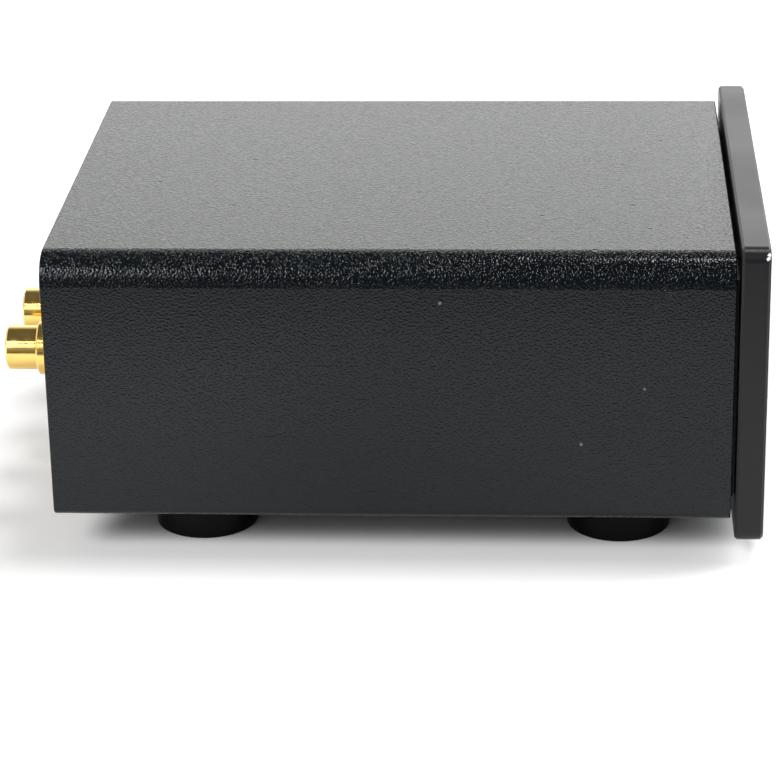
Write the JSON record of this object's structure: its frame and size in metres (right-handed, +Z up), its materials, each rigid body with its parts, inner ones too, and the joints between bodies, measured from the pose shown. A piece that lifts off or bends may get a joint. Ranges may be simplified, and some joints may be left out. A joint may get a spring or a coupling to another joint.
{
  "type": "moving coil step-up transformer",
  "caption": "Moving coil step-up transformer: low black wrinkle-painted steel case with a thick front panel, round rubber feet, gold phono sockets and a ground terminal at the rear.",
  "frame": {"origin": "on the surface the feet stand on, at the middle of the bounding box", "axes": "+X to the right seen from the front, +Y to the rear, +Z up; the front panel faces -Y and the sockets face +Y"},
  "size_m": [0.1, 0.1398, 0.0608],
  "materials": {
    "wrinkle_paint": "black wrinkle paint",
    "anodised_black": "satin black anodised",
    "smooth_paint": "smooth satin black paint",
    "rubber": "matt black rubber",
    "gold": "gold plated brass",
    "left_insulator": "white fluoroplastic",
    "right_insulator": "red moulded plastic",
    "washer_plastic": "black moulded plastic",
    "nickel_brass": "nickel plated brass",
    "tinned_brass": "tinned brass",
    "steel_screw": "zinc plated steel",
    "black_screw": "blackened steel",
    "can_steel": "annealed nickel iron",
    "core_laminations": "stacked nickel iron laminations",
    "felt": "grey felt",
    "bobbin_nylon": "natural nylon",
    "primary_wire": "enamelled copper wire",
    "secondary_wire": "fine enamelled copper wire",
    "left_lead": "white insulated wire",
    "right_lead": "red insulated wire",
    "tinned_wire": "tinned copper wire"
  },
  "bodies": {
    "unit": {"base_tray": "smooth_paint", "clamp_nuts": "steel_screw", "clamp_studs": "steel_screw", "clinch_nuts": "steel_screw", "core_pads": "felt", "cover": "wrinkle_paint", "cover_screws": "black_screw", "foot_front_left": "rubber", "foot_front_right": "rubber", "foot_nuts": "steel_screw", "foot_rear_left": "rubber", "foot_rear_right": "rubber", "foot_screws": "steel_screw", "front_panel": "anodised_black", "front_panel_screws": "steel_screw", "ground_fixing_nut": "nickel_brass", "ground_lug": "tinned_brass", "ground_stud": "nickel_brass", "ground_wires": "tinned_wire", "lead_bushings": "washer_plastic", "left_bobbin": "bobbin_nylon", "left_clamp_strap": "steel_screw", "left_core": "core_laminations", "left_input_leads": "left_lead", "left_input_socket_contact": "gold", "left_input_socket_insulator": "left_insulator", "left_input_socket_shell": "gold", "left_output_leads": "left_lead", "left_output_socket_contact": "gold", "left_output_socket_insulator": "left_insulator", "left_output_socket_shell": "gold", "left_primary_winding": "primary_wire", "left_secondary_winding": "secondary_wire", "left_shield_can": "can_steel", "left_shield_lid": "can_steel", "rear_panel": "smooth_paint", "rear_panel_screws": "black_screw", "right_bobbin": "bobbin_nylon", "right_clamp_strap": "steel_screw", "right_core": "core_laminations", "right_input_leads": "right_lead", "right_input_socket_contact": "gold", "right_input_socket_insulator": "right_insulator", "right_input_socket_shell": "gold", "right_output_leads": "right_lead", "right_output_socket_contact": "gold", "right_output_socket_insulator": "right_insulator", "right_output_socket_shell": "gold", "right_primary_winding": "primary_wire", "right_secondary_winding": "secondary_wire", "right_shield_can": "can_steel", "right_shield_lid": "can_steel", "socket_inner_washers": "washer_plastic", "socket_nuts": "nickel_brass", "socket_outer_washers": "washer_plastic", "socket_solder_tags": "tinned_brass"},
    "ground_washer": {"ground_clamp_washer": "nickel_brass"},
    "ground_nut": {"ground_thumb_nut": "gold"}
  },
  "joints": [
    {"name": "ground_washer_slide", "type": "slide", "parent": "unit", "child": "ground_washer", "axis": [0, 1, 0], "range_m": [0, 0.0035]},
    {"name": "ground_nut_turn", "type": "hinge", "parent": "ground_washer", "child": "ground_nut", "pos_m": [0, 0.06245, 0.0222], "axis": [0, 1, 0], "range_deg": [0, 1800]}
  ],
  "couplings": [
    {"joint": "ground_nut_turn", "follows": "ground_washer_slide", "rad_per_m": 8976}
  ]
}
